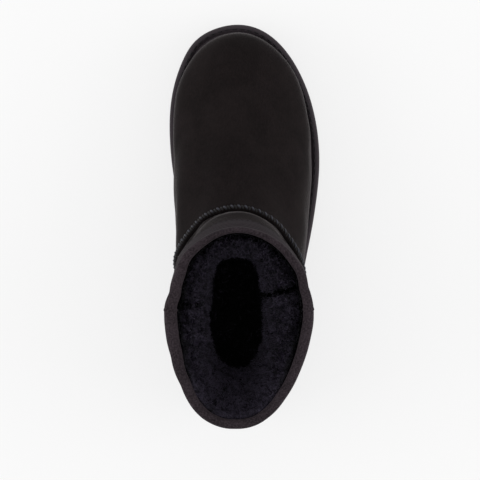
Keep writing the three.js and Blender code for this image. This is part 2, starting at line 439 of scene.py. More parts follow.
class Value:
    """A number that varies over a surface. Sums with it add Math nodes."""

    def __init__(self, finish, socket):
        self.finish = finish
        self.socket = socket

    def sum(self, operation, a, b):
        made = self.finish.node("ShaderNodeMath", {"operation": operation}, {0: a, 1: b})
        return Value(self.finish, made.outputs[0])

    def __add__(self, other):
        return self.sum("ADD", self, other)

    def __radd__(self, other):
        return self.sum("ADD", other, self)

    def __sub__(self, other):
        return self.sum("SUBTRACT", self, other)

    def __rsub__(self, other):
        return self.sum("SUBTRACT", other, self)

    def __mul__(self, other):
        return self.sum("MULTIPLY", self, other)

    def __rmul__(self, other):
        return self.sum("MULTIPLY", other, self)

    def sine(self, turns):
        return self.sum("SINE", self * turns, 0)


class Finish:
    """A material with a Principled shader, and the one way of adding nodes to it."""

    def __init__(self, name, uniform):
        self.material = bpy.data.materials.new(name)
        self.material.use_nodes = True
        self.tree = self.material.node_tree
        self.tree.nodes.clear()
        self.shader = self.node("ShaderNodeBsdfPrincipled", {}, uniform)
        self.node("ShaderNodeOutputMaterial", {}, {"Surface": self.shader.outputs["BSDF"]})
        self.place = self.node("ShaderNodeTexCoord").outputs["Object"]

    def node(self, kind, settings=None, inputs=None):
        made = self.tree.nodes.new(kind)
        for key, value in (settings or {}).items():
            setattr(made, key, value)
        for key, value in (inputs or {}).items():
            self.feed(made.inputs[key], value)
        return made

    def feed(self, socket, value):
        if isinstance(value, Value):
            value = value.socket
        if isinstance(value, bpy.types.NodeSocket):
            self.tree.links.new(value, socket)
        else:
            socket.default_value = value

    def stretched(self, scale):
        made = self.node("ShaderNodeMapping", {}, {"Vector": self.place, "Scale": scale})
        return made.outputs["Vector"]

    def grain(self, size, detail=2.0, rough=0.5, stretch=None, warp=0.0):
        """Noise whose features are about a size in metres."""
        inputs = {
            "Vector": self.stretched(stretch) if stretch else self.place,
            "Scale": 1 / size,
            "Detail": detail,
            "Roughness": rough,
            "Distortion": warp,
        }
        made = self.node("ShaderNodeTexNoise", {"noise_dimensions": "3D"}, inputs)
        return Value(self, made.outputs["Fac"])

    def cells(self, size):
        inputs = {"Vector": self.place, "Scale": 1 / size}
        return Value(self, self.node("ShaderNodeTexVoronoi", {}, inputs).outputs["Distance"])

    def attribute(self, name):
        made = self.node("ShaderNodeAttribute", {"attribute_name": name})
        return Value(self, made.outputs["Fac"])

    def between(self, value, low, high):
        """0 where a value is under low, 1 over high, and smooth between."""
        made = self.node(
            "ShaderNodeMapRange",
            {"interpolation_type": "SMOOTHSTEP"},
            {"Value": value, "From Min": low, "From Max": high},
        )
        return Value(self, made.outputs["Result"])

    def blend(self, share, first, second):
        """A colour between two others."""
        inputs = {0: share, 6: first, 7: second}
        return self.node("ShaderNodeMix", {"data_type": "RGBA"}, inputs).outputs[2]

    def colour(self, share, first, second):
        self.feed(self.shader.inputs["Base Color"], self.blend(share, first, second))

    def relief(self, value, depth, strength=1.0):
        made = self.node(
            "ShaderNodeBump", {}, {"Height": value, "Distance": depth, "Strength": strength}
        )
        self.feed(self.shader.inputs["Normal"], made.outputs["Normal"])

    def rough(self, value):
        self.feed(self.shader.inputs["Roughness"], value)


def shade(colour, factor):
    """A darker or paler tone of a colour, opaque."""
    return (*(channel * factor for channel in colour), 1)


def suede_finish(name, colour):
    uniform = {
        "Sheen Weight": 0.24,
        "Sheen Roughness": 0.2,
        "Sheen Tint": (0.86, 0.80, 0.82, 1),
        "Specular IOR Level": 0.1,
    }
    finish = Finish(name, uniform)
    nap = finish.grain(0.55 * MM, 3, 0.65)
    fibre = finish.grain(0.9 * MM, 2, 0.6, stretch=(1, 0.28, 1), warp=0.6)
    patch = finish.grain(21 * MM, 4, 0.6, warp=0.8)
    mix = finish.between(patch * 0.42 + nap * 0.38 + fibre * 0.32, 0.36, 0.78)
    finish.colour(mix, shade(colour, 0.6), shade(colour, 1.5))
    finish.rough(0.86 + nap * 0.12)
    finish.relief(nap * 0.6 + fibre * 0.5 + finish.cells(1.3 * MM) * 0.25, 0.22 * MM, 0.8)
    return finish.material


def edge_finish(name, colour):
    finish = Finish(name, {"Sheen Weight": 0.1, "Sheen Roughness": 0.5, "Specular IOR Level": 0.1})
    fluff = finish.grain(0.35 * MM, 3, 0.7)
    finish.colour(fluff, shade(colour, 0.7), shade(colour, 1.8))
    finish.rough(0.9 + fluff * 0.1)
    finish.relief(fluff, 0.3 * MM)
    return finish.material


def thread_finish(name, colour):
    finish = Finish(name, {"Specular IOR Level": 0.32})
    twist = finish.grain(0.3 * MM, 2, 0.5, stretch=(1, 1, 2.4))
    # Painted glint: the thread is painted far paler near each stitch's crown, where its tip is
    # high, and on a leg whose tone is raised; the twist breaks the glint up.
    high = finish.attribute("tip") + finish.attribute("tone_and_shade")
    painted_glint = finish.between(high + twist * 0.4, 0.95, 1.4)
    finish.colour(painted_glint, shade(colour, 0.5), shade(colour, 5.0))
    finish.rough(0.34 + twist * 0.2)
    finish.relief(twist, 0.15 * MM)
    return finish.material


def tape_finish(name, colour, rib):
    """A napped tape, with ribs along it where its "ribbed" mark is 1."""
    uniform = {"Sheen Weight": 0.03, "Sheen Roughness": 0.25, "Specular IOR Level": 0.06}
    finish = Finish(name, uniform)
    ribbed = finish.attribute("ribbed")
    place = finish.attribute("down_tape") + finish.grain(3 * MM) * 0.3 * MM
    wave = place.sine(2 * math.pi / rib)
    nap = finish.grain(1.1 * MM, 3, 0.7)
    ribs = (wave * 0.5 + 0.5) * 0.55 + nap * 0.45
    surface = ribs * ribbed + nap * (1 - ribbed)
    patch = finish.grain(16 * MM, 3, 0.6)
    mix = finish.between(surface * 0.8 + patch * 0.2, 0.32, 0.68)
    # Painted shade: the ribbed front of the tape, which faces the light from the toe side, is
    # painted darker.
    finish.colour(mix * (1 - ribbed * 0.45), shade(colour, 0.4), shade(colour, 1.75))
    finish.rough(0.8 + surface * 0.15)
    finish.relief(surface, 0.3 * MM)
    return finish.material


def rubber_finish(name, colour):
    finish = Finish(name, {"Specular IOR Level": 0.25, "Sheen Weight": 0.03})
    pebble = finish.cells(1.1 * MM)
    speck = finish.grain(0.5 * MM, 3, 0.6)
    cloud = finish.grain(28 * MM, 3, 0.5)
    dust = finish.between(finish.grain(9 * MM, 5, 0.65), 0.56, 0.74) * 0.35
    base = finish.blend(cloud * 0.6 + speck * 0.4, shade(colour, 0.8), shade(colour, 1.2))
    finish.colour(dust, base, shade(colour, 1.7))
    finish.rough(0.58 + speck * 0.2 + dust * 0.3)
    finish.relief(pebble * 0.5 + speck * 0.4, 0.14 * MM)
    return finish.material


def wool_finish(name, colour):
    uniform = {
        "Sheen Weight": 0.05,
        "Sheen Roughness": 0.35,
        "Sheen Tint": (0.80, 0.82, 0.98, 1),
        "Specular IOR Level": 0.15,
    }
    finish = Finish(name, uniform)
    lock = finish.grain(6 * MM, 3, 0.6, warp=1.2)
    strand = finish.grain(0.5 * MM, 2, 0.6)
    tuft = finish.grain(2.4 * MM, 1, 0.5, warp=1.6)
    tip, tone_and_shade = finish.attribute("tip"), finish.attribute("tone_and_shade")
    # Painted shade: the locks are darker towards their roots and where their tone mark carries
    # painted shade, deep inside, beside the collar and in partings; the lock and tuft noise is
    # their own patchy tone. Pieces without these marks, such as the footbed, come out darker.
    mix = finish.between(tip * 0.25 + tone_and_shade * 0.45 + lock * 1.2 + tuft * 1.3, 1.25, 2.15)
    finish.colour(mix, shade(colour, 0.08), shade(colour, 6.1))
    finish.rough(0.62 + strand * 0.25)
    finish.relief(strand, 0.3 * MM)
    return finish.material


def backing_finish(name, colour):
    """The wool's backing and the foot's lining, in painted shade: the backing is painted dark deep
    inside, beside the collar and in partings, and the lining, which has no tone mark, is at its
    darkest.
    """
    finish = Finish(name, {"Specular IOR Level": 0.0})
    tuft = finish.grain(1.6 * MM, 3, 0.65, warp=1.0)
    mix = finish.between(tuft, 0.25, 0.65) * finish.attribute("tone_and_shade")
    finish.colour(mix, shade(colour, 0.05), shade(colour, 2.8))
    finish.rough(0.9 + tuft * 0.1)
    finish.relief(tuft, 1.0 * MM)
    return finish.material


# The boot's skin, shared by the pieces that are cut from it
RIM_TRIM = 2.9 * MM  # the rounded rim, between the upper's two faces
FOOT_TRIM = 26 * MM  # the upper's turned-in foot lies below this height
EASE_FOOT = 100  # the collar's ease begins at this height and grows over the next
EASE_RISE = 35
SEAM_GAP = 0.35  # half of the gap between two panels, in millimetres
TUCK_REACH = 3.2  # how far from the vamp seam a panel's edge is tucked in or turned out


class Skin:
    """The upper's two faces as fine meshes, with its seams as paths."""

    made = None

    def __init__(self):
        bm = merged_copy("upper")
        trim = []
        for face in bm.faces:
            level = face.calc_center_median().z
            if level > RIM_Z - RIM_TRIM or (face.normal.z < -0.8 and level < FOOT_TRIM):
                trim.append(face)
        bmesh.ops.delete(bm, geom=trim, context="FACES")
        parts = sorted(islands(bm), key=lambda part: min(v.co.y for f in part for v in f.verts))
        if len(parts) != 2:
            raise RuntimeError(f"the upper has {len(parts)} faces, not an outer and an inner")
        self.inner = self.half(bm, parts[0], 1)
        self.outer = self.half(bm, parts[1], 2)
        bm.free()
        for vert in self.outer.verts:
            side = "medial" if across(vert.co) > 0 else "lateral"
            ease = through(COLLAR_EASE, "along", side, along(vert.co))
            ease *= min(max((height(vert.co) - EASE_FOOT) / EASE_RISE, 0), 1)
            vert.co += vert.normal * fold_depth(vert.co) * MM
            vert.co.x += math.copysign(ease, across(vert.co)) * MM
        self.outer.normal_update()
        self.vamp_seam = lines_where(self.outer, over_vamp_seam)[0]
        self.side_seams = lines_where(self.outer, behind_side_seam)
        self.tree = BVHTree.FromBMesh(self.outer)
        self.near_seam = KDTree(len(self.vamp_seam))
        for i, (place, _) in enumerate(self.vamp_seam):
            self.near_seam.insert(place, i)
        self.near_seam.balance()

    @staticmethod
    def half(bm, gone, levels):
        part = bm.copy()
        bm.faces.index_update()
        part.faces.ensure_lookup_table()
        faces = [part.faces[face.index] for face in gone]
        bmesh.ops.delete(part, geom=faces, context="FACES")
        return subdivided(part, levels)

    @classmethod
    def get(cls):
        if cls.made is None:
            cls.made = cls()
        return cls.made


def fold_depth(point):
    """How far the folds move a point of the skin out, in millimetres."""
    total = 0.0
    here = Vector((along(point), height(point)))
    for fold in FOLDS:
        side = fold["side"]
        if side and side * across(point) < 0:
            continue
        a, b = Vector(fold["from"]), Vector(fold["to"])
        run = b - a
        t = (here - a).dot(run) / run.length_squared
        gap = (here - (a + run * min(max(t, 0), 1))).length / fold["width"]
        total += fold["depth"] * math.exp(-gap * gap)
    ripple = lumps(point, 26) * 0.55 + lumps(point, 11) * 0.18
    return total + ripple


def suede_panel(name, fields, material, depth, tuck):
    """A panel of the upper, cut to its seams and tucked in or turned out at the vamp seam."""
    skin = Skin.get()
    bm = skin.outer.copy()
    for field in fields:
        keep_where(bm, field)
    if not bm.faces:
        raise RuntimeError(f"{name} has no surface left")
    for vert in bm.verts:
        gap = skin.near_seam.find(vert.co)[2] / MM
        vert.co += vert.normal * tuck * math.exp(-((gap / TUCK_REACH) ** 2)) * MM
    piece = finished(name, bm, material)
    thick(piece, depth)
    return piece


def settings(name):
    return getattr(bpy.context.scene, name)


# The collar, as columns round it: angle 0 is its toe end and the lateral side comes first
COLLAR_MIDDLE = Vector((AXIS_X, TOE_Y + 204.5 * MM, 0))
COLLAR_COLUMNS = 192
COLLAR_TOP = 148 * MM
RIM_RISE = 2.9 * MM  # the tape's rounded top stands this much higher
WALL_RINGS = 11  # rings of the tape on the collar's outside
RIM_RINGS = 8  # further rings over the rim

# Round the collar, at every 45 degrees: the width of its edge, and how far down its outside the
# tape goes, in millimetres
TAPE_WIDTH = [1.4, 3.2, 4.6, 4.0, 3.6, 4.4, 6.0, 4.4]
TAPE_DROP = [22, 19, 14.5, 11, 10, 11, 14.5, 19]


def round_collar(values, angle):
    """Smooth value between the ones that are listed round the collar."""
    place = angle / (2 * math.pi) * len(values)
    i = math.floor(place)
    u = place - i
    a, b, c, d = (values[(i + k) % len(values)] for k in (-1, 0, 1, 2))
    return b + 0.5 * u * (c - a + u * (2 * a - 5 * b + 4 * c - d + u * (3 * (b - c) + d - a)))


def outwards(angle):
    return Vector((-math.sin(angle), -math.cos(angle), 0))


def shell(angle, level):
    """The skin's place at an angle and a height, and its level outward direction there."""
    start = COLLAR_MIDDLE + Vector((0, 0, level))
    place = Skin.get().tree.ray_cast(start, outwards(angle))
    normal = Vector((place[1].x, place[1].y, 0)).normalized()
    if normal.dot(outwards(angle)) < 0:
        normal = -normal
    return place[0], normal


def tape_column(angle):
    """The collar's section at an angle, from the tape's lower edge over the rim to its inside."""
    width = round_collar(TAPE_WIDTH, angle) * MM
    drop = round_collar(TAPE_DROP, angle) * MM
    column = []
    last = WALL_RINGS - 1
    for i in range(WALL_RINGS):
        place, out = shell(angle, COLLAR_TOP - drop * (1 - i / last))
        stand = 0.9 if i == 0 else 0.45 + 0.3 * math.sin(math.pi * i / last)
        column.append(place + out * stand * MM)
    top = column[-1]
    for i in range(1, RIM_RINGS + 1):
        turn = math.pi * i / RIM_RINGS
        over = Vector((0, 0, RIM_RISE * math.sin(turn)))
        column.append(top - out * width / 2 * (1 - math.cos(turn)) + over)
    return column + [column[-1] - Vector((0, 0, k * MM)) for k in (2.5, 5)]


def columns():
    return [2 * math.pi * (j + 0.5) / COLLAR_COLUMNS for j in range(COLLAR_COLUMNS)]


# Settings


def length(name, millimetres, description):
    return FloatProperty(
        name=name, description=description, default=millimetres * MM, unit="LENGTH"
    )


def tint(name, default, description):
    return FloatVectorProperty(
        name=name, description=description, default=default, subtype="COLOR"
    )


class UpperSettings(bpy.types.PropertyGroup):
    """Sizes and colours of the suede."""

    thickness: length("Suede", 1.6, "Thickness of the suede")
    seam: length("Seam", 2.6, "Width of a turned seam")
    counter: length("Counter", 1.6, "Thickness of the counter")
    tape: length("Tape", 1.2, "Thickness of the collar's tape")
    rib: length("Rib", 3.6, "Pitch of the tape's ribs")
    suede: tint("Suede colour", (0.0088, 0.0064, 0.0065), "Colour of the suede")
    binding: tint("Binding colour", (0.0260, 0.0200, 0.0235), "Colour of the collar's tape")


class ThreadSettings(bpy.types.PropertyGroup):
    """Sizes and colour of the stitches."""

    thread: length("Thread", 0.95, "Thickness of the thread")
    whip: length("Whip pitch", 4.5, "From whip stitch to whip stitch")
    row: length("Row pitch", 3.4, "From stitch to stitch in a row")
    welt: length("Welt pitch", 5.2, "From stitch to stitch on the sole")
    colour: tint("Thread colour", (0.0060, 0.0062, 0.0088), "Colour of the thread")


class SoleSettings(bpy.types.PropertyGroup):
    """Colour of the outsole."""

    rubber: tint("Rubber colour", (0.0355, 0.0275, 0.0330), "Colour of the outsole")


class WoolSettings(bpy.types.PropertyGroup):
    """Sizes and colour of the wool."""

    pile: length("Pile", 5.6, "Length of a lock")
    spacing: length("Spacing", 0.66, "From lock to lock")
    clump: length("Clump", 4.6, "Width of a clump of locks")
    seed: IntProperty(name="Seed", description="Seed of the wool", default=7)
    colour: tint("Wool colour", (0.0100, 0.0084, 0.0130), "Colour of the wool")


class StageSettings(bpy.types.PropertyGroup):
    """Floor, light and camera."""

    floor: tint("Floor colour", (0.26, 0.26, 0.26), "Colour of the floor")
    glow: FloatProperty(name="Glow", description="The floor's own light", default=0.71)
    sky: FloatProperty(name="Sky", description="Strength of the light all round", default=0.72)
    lamps: FloatProperty(name="Lamps", description="Strength of the soft boxes", default=5)
    camera_height: length("Camera height", 1800, "Camera above the floor")
    lens: FloatProperty(name="Lens", description="Focal length in mm", default=194.7)


# Pieces


class BOOT_OT_suede(bpy.types.Operator):
    """Vamp and shaft panels of suede"""

    bl_idname = "boot.suede"
    bl_label = "Suede panels"

    def execute(self, context):
        upper = settings("boot_upper")
        suede = suede_finish("black_suede", upper.suede)

        for name, fields, tuck in (
            ("vamp", [lambda p: -over_vamp_seam(p) - SEAM_GAP], 0.5),
            (
                "shaft_front",
                [
                    lambda p: over_vamp_seam(p) - SEAM_GAP * 2,
                    lambda p: -behind_side_seam(p) - SEAM_GAP,
                ],
                -1.1,
            ),
            ("shaft_back", [lambda p: behind_side_seam(p) - SEAM_GAP], 0.0),
        ):
            piece = suede_panel(name, fields, suede, upper.thickness, tuck)
            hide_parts("upper")
        return {"FINISHED"}


class BOOT_OT_counter(bpy.types.Operator):
    """Heel counter laid over the shaft, with two rows of stitches"""

    bl_idname = "boot.counter"
    bl_label = "Heel counter"

    def execute(self, context):
        upper, thread = settings("boot_upper"), settings("boot_thread")
        bm = Skin.get().outer.copy()
        keep_where(bm, over_counter_foot)
        keep_where(bm, in_counter)
        for vert in bm.verts:
            vert.co += vert.normal * 0.3 * MM
        rows = []
        for inset in (2.4, 4.6):
            rows += lines_where(bm, lambda p, inset=inset: in_counter(p) - inset)
        piece = finished(
            "heel_counter_suede", bm, suede_finish("counter_suede", upper.suede)
        )
        thick(piece, upper.counter, outwards=True)
        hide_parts("heel_counter")
        stitch_rows(
            "counter_stitches",
            rows,
            thread.row,
            stitch(2.7 * MM, thread.thread * 0.8, 0.25 * MM),
            thread_finish("counter_thread", thread.colour),
            lift=upper.counter + 0.1 * MM,
        )
        return {"FINISHED"}


class BOOT_OT_seams(bpy.types.Operator):
    """Turned vamp and side seams with stitches over them"""

    bl_idname = "boot.seams"
    bl_label = "Seams"

    def execute(self, context):
        upper, thread = settings("boot_upper"), settings("boot_thread")
        skin = Skin.get()
        edge = edge_finish("cut_suede_edge", upper.suede)
        twine = thread_finish("seam_thread", thread.colour)
        width = upper.seam
        roll = lines_where(skin.outer, lambda p: over_vamp_seam(p) + width * 0.62 / MM)[0]
        path = [(p + n * 0.35 * MM, n) for p, n in evenly(roll, 1.6 * MM)]
        finished("vamp_edge", swept(frames_on(path), oval(width, width * 0.8, 10)), edge)
        legs = [
            stitch(width * 1.25, thread.thread * 1.5, width * 0.42, thread.whip * 0.5),
            stitch(width * 1.3, thread.thread * 1.2, width * 0.3, thread.whip * 0.35),
        ]
        frames = [
            m @ Matrix.Translation((0.25 * MM, 0, 0.45 * MM))
            for m in frames_along(path, thread.whip)
        ]
        both = [
            m @ Matrix.Translation((0, shift * thread.whip, 0))
            for shift in (0, 0.5)
            for m in frames
        ]
        choice = np.repeat([0, 1], len(frames))
        # The first leg of each whip stitch gets a raised tone and the second a lowered one: a
        # painted highlight on the first leg and painted shade on the second.
        mesh = repeated("vamp_stitches", legs, both, choice, 0.3 - 0.5 * choice)
        finished("vamp_stitches", mesh, twine)
        for run in skin.side_seams:
            medial = across(run[len(run) // 2][0]) > 0
            name = "side_seam_medial" if medial else "side_seam_lateral"
            shown = [(p, n) for p, n in run if not 0 < in_counter(p) and p.z < COLLAR_TOP]
            path = [(p + n * 0.1 * MM, n) for p, n in evenly(shown, 1.6 * MM)]
            ridge = swept(frames_on(path), oval(width * 0.85, width * 0.8, 10))
            finished(name, ridge, edge)
            leg = stitch(width * 1.3, thread.thread * 0.7, width * 0.42, 0.9 * MM)
            frames = frames_along(path, thread.row * 0.8)
            mesh = repeated(name + "_stitches", [leg], frames)
            finished(name + "_stitches", mesh, twine)
        return {"FINISHED"}


class BOOT_OT_binding(bpy.types.Operator):
    """Ribbed tape folded over the collar's edge, with its row of stitches"""

    bl_idname = "boot.binding"
    bl_label = "Collar binding"

    def execute(self, context):
        upper, thread = settings("boot_upper"), settings("boot_thread")
        rows, row = [], []
        for angle in columns():
            rows.append(tape_column(angle))
            drop = round_collar(TAPE_DROP, angle) * MM
            place, out = shell(angle, COLLAR_TOP - drop + 2 * MM)
            row.append((place + out * (0.5 * MM + upper.tape), out))
        bm = stacked(list(zip(*rows)))
        self.mark(bm, rows)
        tape = tape_finish("ribbed_tape", upper.binding, upper.rib)
        piece = finished("collar_tape", bm, tape)
        thick(piece, upper.tape, outwards=True, edge=0.3 * MM)
        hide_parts("collar_binding")
        stitch_rows(
            "binding_stitches",
            [row],
            thread.row,
            stitch(2.6 * MM, thread.thread * 0.55, 0.2 * MM),
            thread_finish("tape_thread", thread.colour),
            closed=True,
        )
        for name, low, high in (("lateral", 0.3, 0.7), ("medial", 1.3, 1.7)):
            self.cover(name, low * math.pi, high * math.pi, tape)
        return {"FINISHED"}

    @staticmethod
    def cover(side, low, high, tape):
        """A flat strip of tape over the rim where the side seam meets the collar."""
        turns = np.linspace(low, high, 120)
        near = [abs(behind_side_seam(shell(turn, COLLAR_TOP)[0])) for turn in turns]
        angle = turns[int(np.argmin(near))]
        column, thickness = tape_column(angle)[4:], settings("boot_upper").tape
        out = outwards(angle)
        path = []
        for i, place in enumerate(column):
            run = column[min(i + 1, len(column) - 1)] - column[max(i - 1, 0)]
            normal = (out * run.z - Vector((0, 0, 1)) * run.dot(out)).normalized()
            path.append((place + normal * (thickness - 0.25 * MM), normal))
        strip = swept(frames_along(path, 0.8 * MM), oval(2.6 * MM, 1.3 * MM, 10))
        finished("tape_join_" + side, strip, tape)

    @staticmethod
    def mark(bm, rows):
        """Keeps each point's way down the tape's outside, and how plainly its ribs show."""
        down_tape = bm.verts.layers.float.new("down_tape")
        ribbed = bm.verts.layers.float.new("ribbed")
        bm.verts.index_update()
        for vert in bm.verts:
            side = vert.co - COLLAR_MIDDLE
            turn = math.atan2(-side.x, -side.y) / (2 * math.pi) * COLLAR_COLUMNS
            column = rows[round(turn - 0.5) % COLLAR_COLUMNS]
            ring = vert.index // COLLAR_COLUMNS
            steps = zip(column[ring:WALL_RINGS], column[ring + 1 : WALL_RINGS])
            vert[down_tape] = sum((b - a).length for a, b in steps)
            ahead = 1 / (1 + math.exp(behind_side_seam(vert.co) / 1.5))
            vert[ribbed] = ahead if ring < WALL_RINGS else 0


# How the sole's top is moved beside its groove, in millimetres
GROOVE_REACH = 3  # as far as this from the groove
GROOVE_EASE = 1.6  # fading out over this much
GROOVE_SHIFT = {"outside": 1.5, "inside": 0.9}
GROOVE_HALF = 0.9  # half of the width of the groove's floor
GROOVE_DEEPER = 0.9
FLOOR_FACES = 40  # flat parts of the sole's top with fewer faces are not the groove's floor


class BOOT_OT_outsole(bpy.types.Operator):
    """Moulded outsole with the row of stitches in its groove"""

    bl_idname = "boot.outsole"
    bl_label = "Outsole"

    def execute(self, context):
        thread = settings("boot_thread")
        bm = merged_copy("outsole")
        self.widen_bead(bm, frames_along(self.groove(bm), MM, closed=True))
        groove = self.groove(bm)
        # Sharp round the tread's lugs and at their corners, and half sharp round the sole's top
        crease = bm.edges.layers.float.new("crease_edge")
        for edge in bm.edges:
            ups = [face.normal.z for face in edge.link_faces]
            angle = edge.calc_face_angle(0)
            under = min(ups) < -0.97 and max(ups) > -0.95
            corner = max(abs(z) for z in ups) < 0.35 and angle > math.radians(45)
            top = max(ups) > 0.98 and angle > math.radians(50)
            edge[crease] = 1.0 if under or corner else 0.55 if top else 0.0
        fine = subdivided(bm, 2)
        rubber = rubber_finish("black_rubber", settings("boot_sole").rubber)
        piece = finished("moulded_outsole", fine, rubber)
        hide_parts("outsole")
        stitch_rows(
            "welt_stitches",
            [groove],
            thread.welt,
            stitch(3.7 * MM, thread.thread * 0.8, 0.4 * MM),
            thread_finish("welt_thread", thread.colour),
            lift=0.05 * MM,
            closed=True,
        )
        return {"FINISHED"}

    @staticmethod
    def widen_bead(bm, frames):
        """Sets the groove in towards the upper, which widens the bead outside it."""
        tree = KDTree(len(frames))
        for i, frame_ in enumerate(frames):
            tree.insert(frame_.translation, i)
        tree.balance()
        for vert in bm.verts:
            place, i, _ = tree.find(vert.co)
            out = frames[i].col[0].xyz
            gap = (vert.co - place).dot(out) / MM
            if vert.co.z > place.z - 0.2 * MM and abs(gap) < GROOVE_REACH:
                shift = GROOVE_SHIFT["outside" if gap > 0 else "inside"]
                share = min((GROOVE_REACH - abs(gap)) / GROOVE_EASE, 1) * shift
                vert.co -= out * share * MM
                if abs(gap) < GROOVE_HALF:
                    vert.co.z -= GROOVE_DEEPER * MM
        bm.normal_update()

    @staticmethod
    def groove(bm):
        """The middle of the stitching groove's floor, all the way round."""
        flat = bm.copy()
        steep = [f for f in flat.faces if f.normal.z < 0.98]
        bmesh.ops.delete(flat, geom=steep, context="FACES")
        floors = [part for part in islands(flat) if len(part) > FLOOR_FACES]
        floor = min(floors, key=lambda part: sum(f.calc_area() for f in part))
        places = [f.calc_center_median() for f in floor]
        middle = (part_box("outsole")[0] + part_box("outsole")[1]) / 2
        places.sort(key=lambda p: math.atan2(p.x - middle.x, middle.y - p.y))
        flat.free()
        return [(p, Vector((0, 0, 1))) for p in places]


# The ring of wool, in eight directions: how far down its hole begins, and how far its short locks,
# painted dark as the collar's shadow, reach in from the collar's edge, in millimetres
HOLE_DEPTH = [26, 28, 30, 38, 56, 38, 30, 28]
SHADED_EDGE = [3.4, 3.8, 2.4, 1.2, -0.4, 1.0, 1.4, 3.0]
HOLE_MIDDLE = Vector((AXIS_X + 0.6 * MM, TOE_Y + 196.5 * MM, 0))
HOLE_HALF = 20.6 * MM
HOLE_FRONT = 40 * MM
HOLE_BACK = 39 * MM
WOOL_EDGE = 1.2  # from the inside of the collar's edge to the wool, in millimetres
WOOL_LIP = 2 * MM  # the wool's edge lies this far below the collar's top
SHORT_REACH = 1.5  # the short, painted-dark locks pass into full ones over this many millimetres
LINING_TOP = 104  # the foot's own lining ends at this height, in millimetres
DEEP_BACKING = 30 * MM  # below this depth the backing is painted at its darkest, as shade

# The wool's profile from the collar's edge (across 0) to the hole (1), as a share of the hole's
# depth, and the places of its rings
PILLOW = table(
    "across down",
    (0, 0.08), (0.03, 0.48), (0.09, 0.62), (0.22, 0.52), (0.45, 0.42), (0.68, 0.44),
    (0.85, 0.56), (0.95, 0.78), (1.0, 1.0),
)

RING_STOPS = [0, 0.02, 0.05, 0.09, 0.14, 0.2, 0.27, 0.34, 0.41, 0.48, 0.55, 0.62, 0.69]
RING_STOPS += [0.76, 0.82, 0.88, 0.93, 0.97, 1.0]
RING_FALLS = (6, 14, 24, 36)  # further rings in the hole, below its edge, in millimetres

# Partings in the wool from the hole outwards, from and to a place (across, along)
PARTINGS = table(
    "from to depth width",
    ((-18, 183.5), (-37, 178.5), 7.0, 1.7),
    ((26, 190), (44, 192.5), 3.4, 1.2),
    ((10, 246), (22, 262), 1.6, 1.8),
    ((-22, 158), (-31, 151), 2.0, 1.8),
)


def from_parting(point, parting):
    """The way from a parting's line to a point, in plan and in millimetres."""
    here = Vector((across(point), along(point)))
    here.y += lumps(point, 7) * 2.2
    a, b = Vector(parting["from"]), Vector(parting["to"])
    run = b - a
    t = min(max((here - a).dot(run) / run.length_squared, 0), 1)
    return here - a - run * t


def parting_depth(point):
    total = 0.0
    for parting in PARTINGS:
        gap = from_parting(point, parting).length / parting["width"]
        total += parting["depth"] * math.exp(-gap * gap)
    return total * MM


def parting_push(point):
    """How the locks beside a parting lean away from it."""
    push = Vector((0, 0, 0))
    for parting in PARTINGS:
        away = from_parting(point, parting)
        strength = 0.17 * parting["depth"] * math.exp(-((away.length / 4.2) ** 2))
        push += Vector((*away.normalized(), 0)) * strength
    return push


def hole_edge(angle):
    """The hole's edge straight out from its middle: square in front and round behind."""
    out = outwards(angle)
    front = out.y < 0
    power = 3.6 if front else 2.3
    reach = HOLE_FRONT if front else HOLE_BACK
    half = HOLE_HALF + 1.8 * MM * min(out.y, 0)
    size = (abs(out.x / half) ** power + abs(out.y / reach) ** power) ** (1 / power)
    return HOLE_MIDDLE + out / size


def wool_edge(angle):
    """From the skin to where the wool begins inside the collar, in millimetres."""
    return round_collar(TAPE_WIDTH, angle) + WOOL_EDGE


# Locks
LOCK_TRIES = 90000  # places tried for a lock; one too close to another is dropped
LOCK_KINDS = 8
THROAT_DEPTH = 75 * MM  # locks stand thinly below this
DEEP_SHARE = 0.1
# How strongly a lock leans towards its clump's middle, with the swirl, as its clump is combed
# and at random
LEAN = {"clump": 0.45, "swirl": 0.5, "comb": 0.85, "stray": 0.35}
SIDES = ("wool_front", "wool_back", "wool_lateral", "wool_medial")


